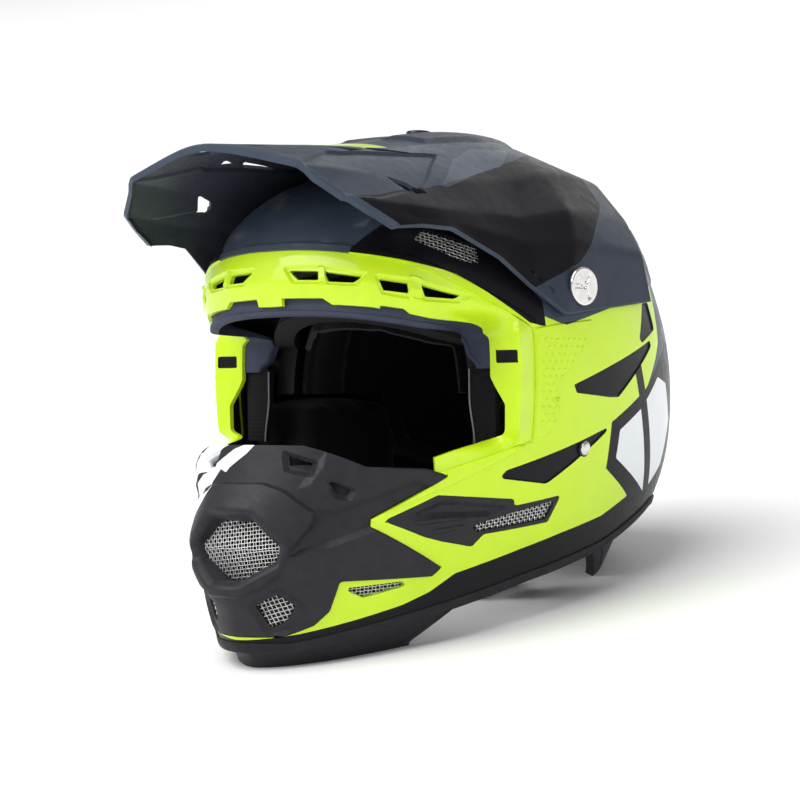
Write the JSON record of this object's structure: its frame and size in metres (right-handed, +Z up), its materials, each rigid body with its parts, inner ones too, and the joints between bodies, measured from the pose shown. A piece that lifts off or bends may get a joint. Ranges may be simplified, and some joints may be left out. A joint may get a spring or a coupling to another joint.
{
  "type": "motocross helmet",
  "caption": "Off-road helmet with a composite shell, peaked visor that tilts, open eyeport, vented chin guard, floating energy liner, cheek pads and a double-ring chin strap.",
  "frame": {"origin": "middle of the helmet's overall box, on the plane that its chin skirt and neck guard stand on", "axes": "+Z up with the helmet standing on its lower edge, -Y towards the face side, +X the wearer's left"},
  "size_m": [0.2638, 0.3752, 0.3015],
  "materials": {
    "shell_paint": "gloss paint, fluorescent yellow with slate grey, black and white panels",
    "black_rubber": "matt",
    "matte_black": "fine matt grain",
    "mesh_steel": "woven wire",
    "frame_yellow": "satin moulded",
    "gasket_grey": "satin",
    "vent_black": "satin",
    "visor_paint": "gloss paint, slate grey and black",
    "liner_foam": "bead foam",
    "damper_rubber": "matt",
    "comfort_fabric": "knitted mesh",
    "cheek_fabric": "brushed knit",
    "nylon_black": "moulded nylon",
    "screw_metal": "polished",
    "steel": "plated",
    "webbing": "woven nylon"
  },
  "bodies": {
    "helmet": {"outer_shell": "shell_paint", "rim_trim": "black_rubber", "chin_guard": "matte_black", "mouth_mesh": "mesh_steel", "chin_skirt": "black_rubber", "neck_guard": "matte_black", "eyeport_frame": "frame_yellow", "eyeport_gasket": "gasket_grey", "rear_spoiler": "visor_paint", "rear_mesh": "mesh_steel", "outer_liner": "liner_foam", "dampers": "damper_rubber", "chin_bar_pad": "liner_foam", "visor_nut_top": "steel", "visor_post": "nylon_black", "jaw_mesh_left": "mesh_steel", "jaw_mesh_right": "mesh_steel", "side_mesh_left": "mesh_steel", "side_mesh_right": "mesh_steel", "brow_mesh_left": "mesh_steel", "brow_mesh_right": "mesh_steel", "chin_mesh_left": "mesh_steel", "chin_mesh_right": "mesh_steel", "side_vent_left": "vent_black", "side_vent_right": "vent_black", "cheek_plate_left": "nylon_black", "cheek_plate_right": "nylon_black", "visor_nut_left": "steel", "visor_nut_right": "steel", "strap_rivet_left": "steel", "strap_rivet_right": "steel"},
    "visor": {"visor": "visor_paint"},
    "visor_screw_left": {"visor_screw_left": "screw_metal"},
    "visor_screw_right": {"visor_screw_right": "screw_metal"},
    "visor_screw_top": {"visor_screw_top": "screw_metal"},
    "floating_liner": {"inner_liner": "liner_foam", "comfort_liner": "comfort_fabric"},
    "cheek_left": {"cheek_pad_left": "cheek_fabric", "cheek_studs_left": "nylon_black"},
    "cheek_right": {"cheek_pad_right": "cheek_fabric", "cheek_studs_right": "nylon_black"},
    "chin_strap": {"strap_tab_left": "steel", "strap_tab_right": "steel", "strap_left": "webbing", "strap_right": "webbing", "strap_pad_left": "cheek_fabric", "strap_pad_right": "cheek_fabric", "d_ring_lower": "steel", "d_ring_upper": "steel", "strap_snap": "nylon_black"}
  },
  "joints": [
    {"name": "visor_tilt", "type": "hinge", "parent": "helmet", "child": "visor", "pos_m": [0, 0.00906, 0.19137], "axis": [1, 0, 0], "range_deg": [-2, 6]},
    {"name": "visor_screw_left_turn", "type": "hinge", "parent": "helmet", "child": "visor_screw_left", "pos_m": [0.1305, 0.00906, 0.19137], "axis": [0.9925, -0.1202, 0.0201], "continuous": true},
    {"name": "visor_screw_right_turn", "type": "hinge", "parent": "helmet", "child": "visor_screw_right", "pos_m": [-0.1305, 0.00906, 0.19137], "axis": [-0.9925, -0.1202, 0.0201], "continuous": true},
    {"name": "visor_screw_top_turn", "type": "hinge", "parent": "helmet", "child": "visor_screw_top", "pos_m": [0, 0.03117, 0.28839], "axis": [0, 0.2223, 0.975], "continuous": true},
    {"name": "liner_float", "type": "hinge", "parent": "helmet", "child": "floating_liner", "pos_m": [0, 0.02, 0.12466], "axis": [0, 0.165, 0.9863], "range_deg": [-2.5, 2.5], "stiffness_Nm_per_rad": 25, "deforming": ["dampers"]},
    {"name": "cheek_left_pull", "type": "slide", "parent": "helmet", "child": "cheek_left", "axis": [-1, 0, 0], "range_m": [0, 0.01]},
    {"name": "cheek_right_pull", "type": "slide", "parent": "helmet", "child": "cheek_right", "axis": [1, 0, 0], "range_m": [0, 0.01]},
    {"name": "chin_strap_swing", "type": "hinge", "parent": "helmet", "child": "chin_strap", "pos_m": [0, -0.00106, 0.09574], "axis": [1, 0, 0], "range_deg": [-12, 12]}
  ]
}
